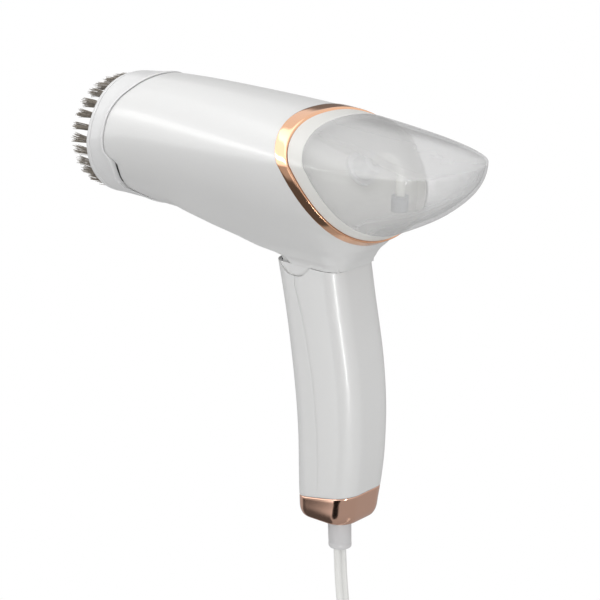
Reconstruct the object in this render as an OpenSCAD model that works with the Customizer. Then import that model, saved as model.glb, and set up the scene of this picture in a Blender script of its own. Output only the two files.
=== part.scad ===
// Handheld garment steamer with folding handle and removable water tank.
// Millimetres, +Z up. The origin is the centre of the steam plate's face;
// steam leaves along -X, the tank is at +X and the handle hangs down -Z.

/* [Head] */
// Half width of the round front rim
rim_r = 36.8; // [34:0.2:40]
// Half width of the head where the tank joins it
waist_hw = 45.6; // [42:0.2:50]
// Shell thickness of the mouldings
wall = 2.4; // [1.8:0.1:3]

/* [Tank joint] */
// Lean of the tank joint back from upright, in degrees
joint_lean = 35; // [30:1:40]
// Width of the bright ring
ring_w = 6.2; // [5:0.2:10]
// Width of the tank collar
collar_w = 7.4; // [6:0.2:12]
// Running gap round parts that come apart
gap = 0.3; // [0.2:0.05:0.5]

/* [Steam head] */
// Radius of the steam plate
plate_r = 27; // [24:0.5:28]
// Diameter of each steam hole
steam_hole_d = 2.4; // [1.6:0.2:3]
// Number of bristle tufts round the rim
tufts = 28; // [20:1:32]
// Length of bristle in front of the rim
tuft_len = 13; // [6:0.5:14]

/* [Handle] */
// Half width of the grip
grip_hw = 18; // [16:0.5:20]
// Level of the seam between head and handle
seam_z = -44.8; // [-50:0.2:-42]
// Radius of the fold ears
ear_r = 11.8; // [10:0.2:13]
// Diameter of the fold pins
pin_d = 6; // [5:0.5:8]
// Trigger travel
trigger_travel = 3.5; // [2:0.5:5]

/* [Cord] */
// Diameter of each core of the twin cord
core_d = 4.4; // [3:0.2:5]
// Length of cord that hangs before the bend
cord_drop = 34; // [20:1:60]
// Bend radius of the cord
cord_bend = 45; // [30:1:60]

/* [Show] */
// Which piece to draw

/* [Hidden] */
fn_round = 64;
fn_small = 32;
eps = 0.01;
jc = [151.9, 0, 1.5];          // centre of the tank joint plane
ja = 90 - joint_lean;          // turn that points local +Z out of the joint
jn = [cos(joint_lean), 0, sin(joint_lean)];
pivot = [132.5, 0, -39.1];     // fold axis, parallel to Y
fold_max = 80;
seat_d = ring_w + gap;         // collar starts here, measured from the joint plane
shell_d = seat_d + collar_w + gap;
valve_top = seat_d + 4.32;     // inner face of the tank valve
elbow = jc - 9 * jn;           // bend of the water socket
pump_z = elbow[2];             // pump axis level
bend = jc + (valve_top + 12.6) * jn + 9 * [sin(joint_lean), 0, -cos(joint_lean)];
screw_z = [-134, -160];        // levels of the handle screws
cord_x = 152;                // cord axis
cord_z = -203 - cord_drop;   // where the cord bends
plug_x = cord_x + cord_bend + 18;

// head outline: x, half width, top, crease level, bottom
head = [
    [0.0, rim_r - 1.2, 33.6, 1, -32.0],
    [1.6, rim_r, 34.7, 2, -32.8],
    [12, rim_r + 0.9, 36.1, 6, -33.1],
    [28, 38.2, 37.1, 9.5, -33.6],
    [50, 39.5, 37.5, 10.7, -34.3],
    [80, 41.7, 36.9, 12.3, -35.1],
    [110, 43.8, 35.8, 14, -35.6],
    [135, 45.2, 34.1, 15.3, -35.4],
    [150, waist_hw, 32.4, 15.9, -34.8],
    [162, waist_hw, 30.6, 16.3, -33.6],
    [172, waist_hw, 29.0, 16.5, -31],
    [182, waist_hw * 0.986, 27.3, 16.6, -24.2],
    [192, waist_hw * 0.952, 25.2, 16.6, -19],
    [200, waist_hw * 0.902, 23.5, 16.6, -15],
    [207, waist_hw * 0.833, 21.9, 16.6, -11],
    [212, waist_hw * 0.762, 20.7, 16.6, -7.4],
    [217, waist_hw * 0.660, 19.6, 16.6, -3.4],
    [221, waist_hw * 0.538, 18.5, 16.5, 0.6],
    [224, waist_hw * 0.386, 17.6, 16.1, 5],
    [225.8, waist_hw * 0.200, 17.2, 15.6, 10]];

// neck outline: level, front x, rear x, half width, corner radius
neck = [
    [seam_z, 116.2, 161.5, grip_hw, 9.6],
    [-42.4, 115.8, 162.8, grip_hw + 0.5, 10],
    [-40.6, 113.5, 164.4, grip_hw + 1.6, 11],
    [-39, 98, 166, grip_hw + 2.3, 13],
    [-36, 84, 169, grip_hw + 3.6, 15],
    [-31, 62, 172, grip_hw + 6.8, 18],
    [-25, 44, 172, grip_hw + 10, 20],
    [-15, 40, 160, grip_hw + 12, 20]];

// grip outline: level, front x, rear x, half width, corner radius
grip = [
    [seam_z - 0.3, 116.2, 161.2, grip_hw, 9.6],
    [-62, 120.2, 164.2, grip_hw + 0.1, 9.6],
    [-78, 123.4, 167.3, grip_hw + 0.1, 9.6],
    [-94, 126.1, 170.2, grip_hw, 9.6],
    [-111, 128.6, 172.3, grip_hw - 0.1, 9.6],
    [-127, 130.3, 173.2, grip_hw - 0.2, 9.6],
    [-143, 131.1, 173.1, grip_hw - 0.4, 9.6],
    [-159, 131.4, 172.0, grip_hw - 0.6, 9.6],
    [-171, 131.5, 170.4, grip_hw - 0.9, 9.6],
    [-179.5, 131.8, 169.1, grip_hw - 1.2, 9.6],
    [-183.2, 132.9, 167.6, grip_hw - 2.0, 9.6],
    [-185.2, 136.2, 164.0, grip_hw - 5.0, 8]];

module at_joint(d = 0) translate(jc + d * jn) rotate([0, ja, 0]) children();
module beyond(d) at_joint(d) translate([-120, -90, 0]) cube([240, 180, 240]);
module before(d) at_joint(d) translate([-160, -90, -240]) cube([320, 180, 240]);
module along_x(x0, x1, r) translate([x0, 0, 0]) rotate([0, 90, 0]) cylinder(h = x1 - x0, r = r);
module along_y(y0, y1, r) translate([0, y0, 0]) rotate([-90, 0, 0]) cylinder(h = y1 - y0, r = r);
module tube_z(h, r, ri) difference() {
    cylinder(h = h, r = r);
    translate([0, 0, -1]) cylinder(h = h + 2, r = ri);
}

// one section of the head: a shallow arch over a deeper bowl
function head_pts(s, inset, n = 24) = let (w = s[1] - inset, up = s[2] - inset - s[3], dn = s[3] - s[4] - inset) [
    for (i = [0 : 2 * n - 1]) let (a = 180 * i / n, c = cos(a), q = sin(a), e = q >= 0 ? 1.92 : 2.06)
        [w * sign(c) * pow(abs(c), 2 / e), s[3] + (q >= 0 ? max(up, 0.3) : max(dn, 0.3)) * sign(q) * pow(abs(q), 2 / e)]];

module head_slab(s, inset) translate([s[0], 0, 0]) rotate([90, 0, 90])
    linear_extrude(eps) polygon(head_pts(s, inset));

module head_form(inset = 0, from = 0, to = 19) for (i = [from : to - 1]) hull() {
    head_slab(head[i], inset);
    head_slab(head[i + 1], inset);
}

module plan_slab(s, inset) translate([0, 0, s[0]]) linear_extrude(eps) hull()
    for (x = [s[1] + s[4], s[2] - s[4]], y = [-1, 1]) translate([x, y * (s[3] - s[4])])
        circle(r = s[4] - inset, $fn = fn_small);

module plan_form(list, inset = 0, from = 0, to = 99) for (i = [from : min(to, len(list) - 1) - 1]) hull() {
    plan_slab(list[i], inset);
    plan_slab(list[i + 1], inset);
}

// room the folding handle sweeps under the head
module fold_sweep(inset) for (a = [0 : 16 : fold_max]) translate(pivot) rotate([0, a, 0]) translate(-pivot)
    plan_form(grip, inset, 0, 5);

// room the trigger sweeps under the head
module trigger_sweep(g) for (a = [56 : 8 : fold_max]) translate(pivot) rotate([0, a, 0]) translate(-pivot)
    translate([121 - g, -7 - g, -99 - g]) cube([10, 14 + 2 * g, 24 + 2 * g]);

// seam between brush frame and barrel: behind it, shifted by d
module behind_seam(d) translate([0, 60, 0]) rotate([90, 0, 0]) linear_extrude(120) polygon(concat(
    [for (z = [-60 : 5 : 60]) [d + 12.5 + 9 * pow(max(z - 4, 0) / 34, 2) + 3.5 * pow(max(4 - z, 0) / 38, 2), z]],
    [[300, 60], [300, -60]]));

module ahead_seam(d) difference() {
    translate([-1, -60, -60]) cube([60, 120, 120]);
    behind_seam(d);
}

module barrel_housing() color([0.93, 0.93, 0.94]) difference() {
    union() {
        intersection() {
            head_form(0, 1, 12);
            before(0);
            behind_seam(0.35);
        }
        intersection() {
            plan_form(neck);
            before(0);
        }
    }
    // hollow inside, with a skin left round the fold room
    difference() {
        union() {
            intersection() {
                head_form(wall, 1, 12);
                before(30);
            }
            intersection() {
                translate([0, 0, -0.5]) plan_form(neck, wall);
                before(-wall);
            }
            translate([119.2, -14.9, seam_z - 5]) cube([40, 29.8, 12]);
        }
        difference() {
            union() {
                fold_sweep(-0.6 - wall);
                trigger_sweep(0.6 + wall);
            }
            translate([119.2, -15.1, -80]) cube([60, 30.2, 100]);
        }
    }
    fold_sweep(-0.6);
    trigger_sweep(0.6);
    translate(pivot) along_y(-14.9, 14.9, 15.1, $fn = fn_round);
    translate(pivot) along_y(-17.3, 17.3, pin_d / 2 + 0.05, $fn = fn_small);
}

module at_tuft(i) translate([0, 0, 0.7]) rotate([i * 360 / tufts, 0, 0]) translate([0, 0, 30.6]) children();

module brush_frame() color([0.95, 0.95, 0.95]) difference() {
    intersection() {
        head_form(0, 0, 4);
        ahead_seam(0);
    }
    along_x(-1, 60, 28, $fn = fn_round);
    along_x(5.6, 60, 31.4, $fn = fn_round);
    for (i = [0 : tufts - 1]) at_tuft(i) along_x(-1, 4.3, 1.4, $fn = 12);
    // finger relief behind the lower edge on both sides
    for (s = [-1, 1]) translate([13, s * 30.5, -20]) rotate([s * 35, 0, 0]) cube([9, 5, 13], center = true);
}

module brush_tufts() color([0.40, 0.36, 0.32]) for (i = [0 : tufts - 1]) at_tuft(i) {
    along_x(0.1, 4.2, 1.3, $fn = 16);
    translate([1, 0, 0]) rotate([0, -87, 0]) cylinder(h = tuft_len + 0.8, r1 = 1.1, r2 = 2.1, $fn = 16);
}

module steam_plate() color([0.78, 0.79, 0.80]) difference() {
    union() {
        along_x(0, 3, plate_r, $fn = fn_round);
        for (a = [90, 210, 330]) rotate([a, 0, 0]) translate([0, 0, 20]) along_x(2.9, 9, 3, $fn = fn_small);
    }
    for (a = [90, 210, 330]) rotate([a, 0, 0]) translate([0, 0, 20]) along_x(3, 10, 1.25, $fn = fn_small);
    for (a = [0 : 60 : 300]) rotate([a, 0, 0]) translate([0, 0, 9]) along_x(-1, 4, steam_hole_d / 2, $fn = 24);
    for (a = [30 : 60 : 330]) rotate([a, 0, 0]) translate([0, 0, 16]) along_x(-1, 4, steam_hole_d / 2, $fn = 24);
}

module plate_gasket() color([0.75, 0.25, 0.20]) difference() {
    along_x(3.05, 9.15, 26.6, $fn = fn_round);
    along_x(2, 10, 24, $fn = fn_round);
}

module plate_holder() color([0.30, 0.30, 0.32]) difference() {
    union() {
        difference() {
            along_x(6, 27, 30.2, $fn = fn_round);
            along_x(12.2, 28, 29.2, $fn = fn_round);
            along_x(5, 9.2, 27.4, $fn = fn_round);
        }
        along_x(12, 20, 5, $fn = fn_small);
    }
    along_x(0, 30, 3.4, $fn = fn_small);
    for (a = [90, 210, 330]) rotate([a, 0, 0]) translate([0, 0, 20]) along_x(0, 20, 1.7, $fn = fn_small);
}

module plate_screws() color([0.70, 0.70, 0.72]) for (a = [90, 210, 330]) rotate([a, 0, 0]) translate([0, 0, 20])
    difference() {
        union() {
            along_x(4, 12.3, 1.2, $fn = fn_small);
            along_x(12.25, 14.6, 2.8, $fn = fn_small);
        }
        along_x(13.4, 16, 1.3, $fn = 6);
    }

module steam_duct() color([0.85, 0.40, 0.30]) difference() {
    along_x(13, 33.6, 7, $fn = fn_small);
    along_x(12, 35, 5.05, $fn = fn_small);
}

module boiler_body() color([0.66, 0.67, 0.69]) difference() {
    union() {
        translate([34, -21, -22]) cube([60, 42, 34]);
        along_x(26, 36, 5, $fn = fn_small);
        translate([0, 0, pump_z]) along_x(92, 100, 3, $fn = fn_small);
    }
    translate([40, -15, -10]) cube([48, 30, 30]);
    along_x(20, 42, 3.4, $fn = fn_small);
    translate([0, 0, pump_z]) along_x(86, 110, 1.5, $fn = fn_small);
    heater_rod(3.36);
    for (x = [37, 91], y = [-18, 18]) translate([x, y, 2]) cylinder(h = 20, r = 1.25, $fn = fn_small);
}

// hairpin of the heater, leads at the back
module heater_rod(r) translate([0, 0, -16]) {
    for (y = [-12, 12]) translate([0, y, 0]) along_x(52, 101, r, $fn = fn_small);
    translate([52, 0, 0]) rotate([0, 0, 90]) rotate_extrude(angle = 180, $fn = fn_round)
        translate([12, 0]) circle(r = r, $fn = fn_small);
}

module heating_element() color([0.55, 0.50, 0.45]) {
    heater_rod(3.3);
    for (y = [-12, 12]) translate([0, y, -16]) along_x(100.5, 107, 1, $fn = 24);
}

module boiler_gasket() color([0.75, 0.25, 0.20]) difference() {
    translate([34, -21, 12.02]) cube([60, 42, 1]);
    translate([40, -15, 11]) cube([48, 30, 4]);
    for (x = [37, 91], y = [-18, 18]) translate([x, y, 2]) cylinder(h = 20, r = 1.6, $fn = fn_small);
}

module boiler_cover() color([0.70, 0.71, 0.73]) difference() {
    translate([34, -21, 13.04]) cube([60, 42, 3]);
    for (x = [37, 91], y = [-18, 18]) translate([x, y, 2]) cylinder(h = 20, r = 1.6, $fn = fn_small);
}

module cover_screws() color([0.70, 0.70, 0.72]) for (x = [37, 91], y = [-18, 18]) translate([x, y, 0])
    difference() {
        union() {
            translate([0, 0, 4]) cylinder(h = 12.2, r = 1.2, $fn = fn_small);
            translate([0, 0, 16.06]) cylinder(h = 2.2, r = 2.8, $fn = fn_small);
        }
        translate([0, 0, 17.2]) cylinder(h = 3, r = 1.3, $fn = 6);
    }

module thermostat() color([0.80, 0.78, 0.70]) translate([60, 0, 16.06]) {
    cylinder(h = 2, r = 9, $fn = fn_round);
    cylinder(h = 8, r = 7.5, $fn = fn_round);
    for (s = [-1, 1]) translate([s * 4 - 0.4, -3, 7.9]) cube([0.8, 6, 6]);
}

module thermal_fuse() color([0.85, 0.80, 0.62]) translate([79, 0, 18.4]) {
    along_y(-7, 7, 2.3, $fn = fn_small);
    along_y(-13, 13, 0.6, $fn = 16);
}

module pump_body() color([0.25, 0.27, 0.30]) translate([0, 0, pump_z]) difference() {
    union() {
        along_x(103, 137, 3, $fn = fn_small);
        along_x(108, 134, 9, $fn = fn_round);
        along_x(108, 111.9, 12, $fn = fn_round);
    }
    along_x(100, 140, 1.5, $fn = fn_small);
    along_x(112, 131, 4, $fn = fn_small);
}

module pump_coil() color([0.72, 0.42, 0.22]) translate([0, 0, pump_z]) difference() {
    along_x(112, 130, 14, $fn = fn_round);
    along_x(111, 131, 9.05, $fn = fn_round);
}

module pump_piston() color([0.75, 0.76, 0.78]) translate([0, 0, pump_z]) difference() {
    along_x(119, 129.5, 3.95, $fn = fn_small);
    along_x(118, 130, 1, $fn = 24);
}

module spring(x0, x1, r) difference() {
    along_x(x0, x1, r, $fn = fn_small);
    along_x(x0 - 1, x1 + 1, r - 0.6, $fn = fn_small);
}

module pump_spring() color([0.60, 0.61, 0.63]) translate([0, 0, pump_z]) spring(112.1, 116.9, 3.4);

module inlet_tube() color([0.90, 0.90, 0.86]) translate([0, 0, pump_z]) difference() {
    along_x(95, 107.6, 4.6, $fn = fn_small);
    along_x(94, 109, 3.05, $fn = fn_small);
}

module suction_hose() color([0.90, 0.90, 0.86]) translate([0, 0, pump_z]) difference() {
    along_x(134.3, 140.4, 4.4, $fn = fn_small);
    along_x(133, 142, 3.05, $fn = fn_small);
}

module gold_ring() color([0.83, 0.58, 0.42]) difference() {
    intersection() {
        head_form(-0.7, 5, 13);
        beyond(0.15);
        before(ring_w);
    }
    head_form(wall + 0.4, 4, 14);
}

module rear_bulkhead() color([0.90, 0.90, 0.91]) difference() {
    intersection() {
        head_form(wall + 0.5, 5, 13);
        beyond(-4);
        before(-1);
    }
    at_joint(-10) cylinder(h = 20, r = 7.15, $fn = fn_round);
}

module water_socket() color([0.35, 0.36, 0.38]) difference() {
    union() {
        difference() {
            union() {
                at_joint(-6.5) cylinder(h = 11.5, r = 7, $fn = fn_round);
                at_joint(-0.9) cylinder(h = 1.8, r = 11, $fn = fn_round);
            }
            at_joint(-3) cylinder(h = 12, r = 5.6, $fn = fn_round);
        }
        at_joint(-3.2) cylinder(h = 3.5, r = 2.4, $fn = fn_small);
        translate(elbow) sphere(r = 4.4, $fn = fn_small);
        translate([0, 0, elbow[2]]) along_x(137.2, elbow[0], 3, $fn = fn_small);
    }
    translate(elbow) sphere(r = 2, $fn = fn_small);
    at_joint(-8.4) cylinder(h = 12, r = 1.5, $fn = fn_small);
    translate([0, 0, elbow[2]]) along_x(130, elbow[0] - 0.6, 1.5, $fn = fn_small);
}

module socket_seal() color([0.15, 0.15, 0.15]) at_joint(1.4)
    rotate_extrude($fn = fn_round) translate([5, 0]) circle(r = 0.59, $fn = 24);

module tank_collar() color([0.93, 0.92, 0.90]) difference() {
    intersection() {
        head_form(0.2, 5, 15);
        beyond(seat_d);
        before(seat_d + collar_w);
    }
    intersection() {
        head_form(wall, 4, 16);
        beyond(seat_d + 2.5);
        before(60);
    }
    at_joint(0) cylinder(h = 20, r = 5.1, $fn = fn_round);
}

module tank_shell() color([0.80, 0.83, 0.86, 0.45]) difference() {
    intersection() {
        head_form(0, 6, 19);
        beyond(shell_d);
    }
    difference() {
        head_form(2.2, 5, 18);
        before(0);
    }
}

module tank_valve_body() color([0.90, 0.90, 0.92]) at_joint(0) difference() {
    union() {
        translate([0, 0, 0.4]) cylinder(h = seat_d, r = 4.35, $fn = fn_small);
        translate([0, 0, seat_d + 0.1]) cylinder(h = 2.6, r = 5.05, $fn = fn_round);
        translate([0, 0, seat_d + 2.52]) cylinder(h = 1.8, r = 9, $fn = fn_round);
    }
    translate([0, 0, -1]) cylinder(h = 6, r = 2.6, $fn = fn_small);
    cylinder(h = 20, r = 1.6, $fn = fn_small);
}

module tank_valve_stem() color([0.30, 0.50, 0.62]) at_joint(0) {
    translate([0, 0, 0.4]) cylinder(h = valve_top + 2.2, r = 1.55, $fn = fn_small);
    translate([0, 0, valve_top + 2]) cylinder(h = 1.6, r = 3.4, $fn = fn_small);
    translate([0, 0, 0.4]) cylinder(h = 1, r = 2.5, $fn = fn_small);
}

module tank_valve_spring() color([0.60, 0.61, 0.63]) at_joint(0) translate([0, 0, 1.5]) difference() {
    cylinder(h = 1.9, r = 2.45, $fn = fn_small);
    translate([0, 0, -1]) cylinder(h = 4, r = 1.75, $fn = fn_small);
}

module valve_cage() color([0.90, 0.90, 0.92]) at_joint(valve_top + 0.03) difference() {
    union() {
        cylinder(h = 9, r = 6.4, $fn = fn_small);
        cylinder(h = 12.4, r = 1.35, $fn = fn_small);
    }
    translate([0, 0, -1]) cylinder(h = 8.4, r = 4.3, $fn = fn_small);
    cylinder(h = 20, r = 0.8, $fn = 24);
}

// hose run: out of the cage, over a bend, down to the filter
module intake_run(r, extra) {
    translate(bend) rotate([90, 0, 0]) rotate_extrude(angle = 90 + joint_lean, $fn = fn_round)
        translate([9, 0]) circle(r = r - 0.1, $fn = 24);
    translate([bend[0] + 9, 0, -5 - extra]) cylinder(h = bend[2] + 5.3 + extra, r = r, $fn = 24);
    translate(bend) rotate([0, ja, 0]) translate([-9, 0, -3 - extra]) cylinder(h = 3.3 + extra, r = r, $fn = 24);
}

module intake_tube() color([0.92, 0.92, 0.90, 0.8]) difference() {
    intake_run(2.4, 0);
    intake_run(1.4, 1);
}

module intake_filter() color([0.55, 0.56, 0.58]) translate([bend[0] + 9, 0, -10]) difference() {
    cylinder(h = 8, r = 4.4, $fn = fn_small);
    translate([0, 0, 4.9]) cylinder(h = 6, r = 2.42, $fn = fn_small);
    translate([0, 0, -1]) cylinder(h = 10, r = 1.4, $fn = fn_small);
}

module hinge_yoke() color([0.80, 0.80, 0.82]) difference() {
    union() {
        for (s = [-1, 1]) {
            translate([132.5, s > 0 ? 11.4 : -14.8, seam_z]) cube([26.3, 3.4, 17]);
            translate(pivot) along_y(s > 0 ? 11.4 : -14.8, s > 0 ? 14.8 : -11.4, ear_r, $fn = fn_round);
            intersection() {
                translate(pivot) along_y(s > 0 ? 14.7 : -17.4, s > 0 ? 17.4 : -14.7, ear_r, $fn = fn_round);
                translate([100, -30, -80]) cube([60, 60, 80 + seam_z - 0.2]);
            }
        }
        translate([148.3, -12, seam_z]) cube([10.5, 24, 17]);
    }
    translate(pivot) along_y(-11.35, 11.35, 15, $fn = fn_round);
    translate(pivot) along_y(-20, 20, pin_d / 2, $fn = fn_small);
    translate([154, 0, -60]) cylinder(h = 60, r = 3, $fn = fn_small);
}

module fold_pins() color([0.72, 0.73, 0.75]) for (y = [4.2, -17.2]) translate(pivot)
    along_y(y, y + 13, pin_d / 2, $fn = fn_small);

module fold_knuckle() color([0.28, 0.29, 0.31]) difference() {
    union() {
        translate(pivot) along_y(-11.2, 11.2, 14.5, $fn = fn_round);
        translate([126.3, -11.2, -69]) cube([19.2, 22.4, 20]);
    }
    translate(pivot) along_y(-20, 20, pin_d / 2 + 0.05, $fn = fn_small);
    translate([128, -3.6, -80]) cube([12, 7.2, 70]);
}

module front_half(d = 0) translate([0, 60, 0]) rotate([90, 0, 0]) linear_extrude(120) polygon([
    [60, 0], [133 - d, 0], [133 - d, -54], [137 - d, -66], [141.5 - d, -84], [146.5 - d, -108],
    [149.6 - d, -135], [150.4 - d, -165], [150.4 - d, -200], [60, -200]]);

// everything above the tilted seam between grip and end cap
module above_cap(d = 0) translate([134, 0, -173.6 + d]) rotate([0, -11, 0]) translate([-60, -60, 0]) cube([160, 120, 160]);

module grip_skin() difference() {
    intersection() {
        plan_form(grip);
        above_cap(0.2);
    }
    translate([0, 0, 0]) plan_form(grip, 2.2);
    translate([112, -11.2, -50]) cube([60, 22.4, 10]);
    translate([122, -15.3, -48.6]) cube([37, 30.6, 10]);
    translate(pivot) along_y(-20, 20, ear_r + 0.35, $fn = 72);
    translate(pivot) along_y(-11.5, 11.5, 14.8, $fn = fn_round);
}

module handle_front_shell() color([0.80, 0.81, 0.83]) difference() {
    union() {
        intersection() {
            grip_skin();
            front_half(0.1);
        }
        for (z = screw_z) translate([0, 0, z]) along_x(132.6, 149, 4.2, $fn = 24);
    }
    // trigger slot, button hole, lamp hole and screw wells
    translate([110, -7.2, -99.2]) cube([25, 14.4, 24.2]);
    translate([0, 0, -111.5]) along_x(120, 140, 5.35, $fn = fn_small);
    translate([0, 0, -121.6]) along_x(120, 140, 1.9, $fn = 24);
    for (z = screw_z) translate([0, 0, z]) {
        along_x(120, 160, 1.7, $fn = 24);
        along_x(120, 137.4, 3.1, $fn = 24);
    }
}

module handle_rear_shell() color([0.78, 0.79, 0.81]) difference() {
    union() {
        difference() {
            grip_skin();
            front_half(-0.1);
        }
        for (z = screw_z) translate([0, 0, z]) along_x(150.8, z > -150 ? 171 : 169.4, 3.6, $fn = 24);
    }
    for (z = screw_z) translate([0, 0, z]) along_x(140, 162, 1.3, $fn = 24);
}

module shell_screws() color([0.70, 0.70, 0.72]) for (z = screw_z) translate([0, 0, z]) difference() {
    union() {
        along_x(137.3, 160, 1.25, $fn = fn_small);
        along_x(135, 137.35, 2.9, $fn = fn_small);
    }
    along_x(130, 136.2, 1.3, $fn = 6);
}

module trigger() color([0.74, 0.75, 0.77]) {
    translate([0, 6.8, 0]) rotate([90, 0, 0]) linear_extrude(13.6) polygon([
        [123.4, -75.4], [121.9, -77.2], [121.5, -82], [122.1, -87], [123.6, -92], [125.6, -96.6],
        [127.4, -98.8], [131.5, -98.8], [131.5, -75.4]]);
    translate([130.4, -9, -97.6]) cube([1.2, 18, 21]);
}

module trigger_spring() color([0.60, 0.61, 0.63]) translate([0, 0, -80]) spring(131.65, 133.4, 2.6);

module microswitch() color([0.15, 0.15, 0.17]) difference() {
    translate([137, -3.2, -98]) cube([7, 6.4, 22]);
    translate([0, 0, -91]) along_x(136, 142.8, 1.45, $fn = fn_small);
    for (z = [-95, -85]) translate([140.5, 0, z]) along_y(-5, 5, 1.2, $fn = 24);
}

module switch_plunger() color([0.75, 0.20, 0.15]) translate([0, 0, -91]) along_x(131.65, 139, 1.4, $fn = fn_small);

module power_button() color([0.85, 0.60, 0.45]) translate([0, 0, -111.5]) {
    along_x(129, 134, 5, $fn = fn_small);
    along_x(133.9, 135, 6.4, $fn = fn_small);
}

module power_switch() color([0.15, 0.15, 0.17]) {
    translate([137, -5, -117]) cube([8, 10, 11]);
    translate([0, 0, -111.5]) along_x(136.3, 137.2, 2, $fn = 24);
}

module indicator_lens() color([0.95, 0.75, 0.55, 0.8]) translate([0, 0, -121.6]) {
    along_x(131.3, 136, 1.8, $fn = 24);
    along_x(135.2, 137, 2.6, $fn = 24);
}

module circuit_board() color([0.10, 0.42, 0.24]) difference() {
    translate([152, -13, -122]) cube([1.6, 26, 50]);
    for (y = [-10, 10], z = [-118, -76]) translate([0, y, z]) along_x(150, 156, 1.6, $fn = 24);
}

module relay() color([0.12, 0.25, 0.45]) {
    translate([153.62, -8, -104]) cube([8, 12, 18]);
    translate([0, 7.5, -95]) along_x(153.62, 162, 3, $fn = fn_small);
}

module end_cap() color([0.80, 0.56, 0.42]) difference() {
    plan_form(grip, 0, 6, 11);
    above_cap(-0.15);
    intersection() {
        plan_form(grip, 2.2, 5, 10);
        translate([100, -40, -183]) cube([90, 80, 60]);
    }
    translate([cord_x, 0, -200]) cylinder(h = 40, r = 5.2, $fn = fn_small);
}

module swivel_socket() color([0.28, 0.29, 0.31]) translate([cord_x, 0, -182.9]) difference() {
    cylinder(h = 9.6, r = 8.6, $fn = fn_small);
    translate([0, 0, -1]) cylinder(h = 12, r = 4.55, $fn = fn_small);
    translate([0, 0, 2]) cylinder(h = 9, r = 6.6, $fn = fn_small);
}

module strain_relief() color([0.78, 0.79, 0.80]) translate([cord_x, 0, 0]) difference() {
    union() {
        translate([0, 0, -203]) cylinder(h = 17.5, r1 = 6.2, r2 = 6.4, $fn = fn_small);
        translate([0, 0, -185.6]) cylinder(h = 5, r = 4.5, $fn = fn_small);
        translate([0, 0, -180.7]) cylinder(h = 2.4, r = 6.5, $fn = fn_small);
    }
    translate([0, 0, -204.4]) cylinder(h = 9.4, r = 4.4, $fn = fn_small);
    translate([0, 0, -204]) cylinder(h = 34, r = 1.6, $fn = fn_small);
}

module cord() color([0.93, 0.93, 0.91]) for (y = [-2.1, 2.1]) translate([cord_x, y, 0]) {
    translate([0, 0, cord_z]) cylinder(h = -195.2 - cord_z, r = core_d / 2, $fn = 24);
    translate([cord_bend, 0, cord_z]) rotate([90, 0, 0]) rotate([0, 0, 180])
        rotate_extrude(angle = 90, $fn = fn_round) translate([cord_bend, 0]) circle(r = core_d / 2, $fn = 24);
    translate([0, 0, cord_z - cord_bend]) along_x(cord_bend, cord_bend + 22, core_d / 2, $fn = 24);
}

module plug_body() color([0.92, 0.92, 0.91]) translate([plug_x, 0, cord_z - cord_bend]) difference() {
    rotate([0, 90, 0]) rotate_extrude($fn = fn_round) polygon([[0, 0], [6, 0], [7.4, 12], [9.5, 18], [15, 24],
        [18, 28], [18.4, 32], [18.4, 41], [17.6, 42], [0, 42]]);
    along_x(-1, 5, 4.4, $fn = fn_small);
    for (y = [-9.5, 9.5]) translate([0, y, 0]) along_x(34, 44, 2.22, $fn = fn_small);
    for (s = [-1, 1]) translate([38, 0, s * 18]) cube([12, 5.2, 3], center = true);
}

module plug_pins() color([0.82, 0.80, 0.70]) translate([plug_x, 0, cord_z - cord_bend])
    for (y = [-9.5, 9.5]) translate([0, y, 0]) {
        along_x(34.1, 42.2, 2.2, $fn = fn_small);
        along_x(42.1, 59, 2.4, $fn = fn_small);
        translate([59, 0, 0]) sphere(r = 2.4, $fn = fn_small);
    }

module earth_clips() color([0.82, 0.80, 0.70]) translate([plug_x + 38, 0, cord_z - cord_bend])
    for (s = [-1, 1]) translate([-5.8, -2.4, s * 17.2 - 0.5]) cube([9.6, 4.8, 1]);

barrel_housing();
brush_frame();
brush_tufts();
steam_plate();
plate_gasket();
plate_holder();
plate_screws();
steam_duct();
boiler_body();
boiler_gasket();
boiler_cover();
cover_screws();
heating_element();
thermostat();
thermal_fuse();
pump_body();
pump_coil();
pump_piston();
pump_spring();
inlet_tube();
gold_ring();
rear_bulkhead();
water_socket();
socket_seal();
suction_hose();
tank_collar();
tank_shell();
tank_valve_body();
tank_valve_stem();
tank_valve_spring();
valve_cage();
intake_tube();
intake_filter();
hinge_yoke();
fold_pins();
fold_knuckle();
handle_front_shell();
handle_rear_shell();
shell_screws();
trigger();
trigger_spring();
microswitch();
switch_plunger();
power_button();
power_switch();
indicator_lens();
circuit_board();
relay();
end_cap();
swivel_socket();
strain_relief();
cord();
plug_body();
plug_pins();
earth_clips();
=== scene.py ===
"""Handheld garment steamer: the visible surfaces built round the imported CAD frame, in metres."""
import math
import random

import bpy
import bmesh
import numpy as np
from mathutils import Matrix, Vector


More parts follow.
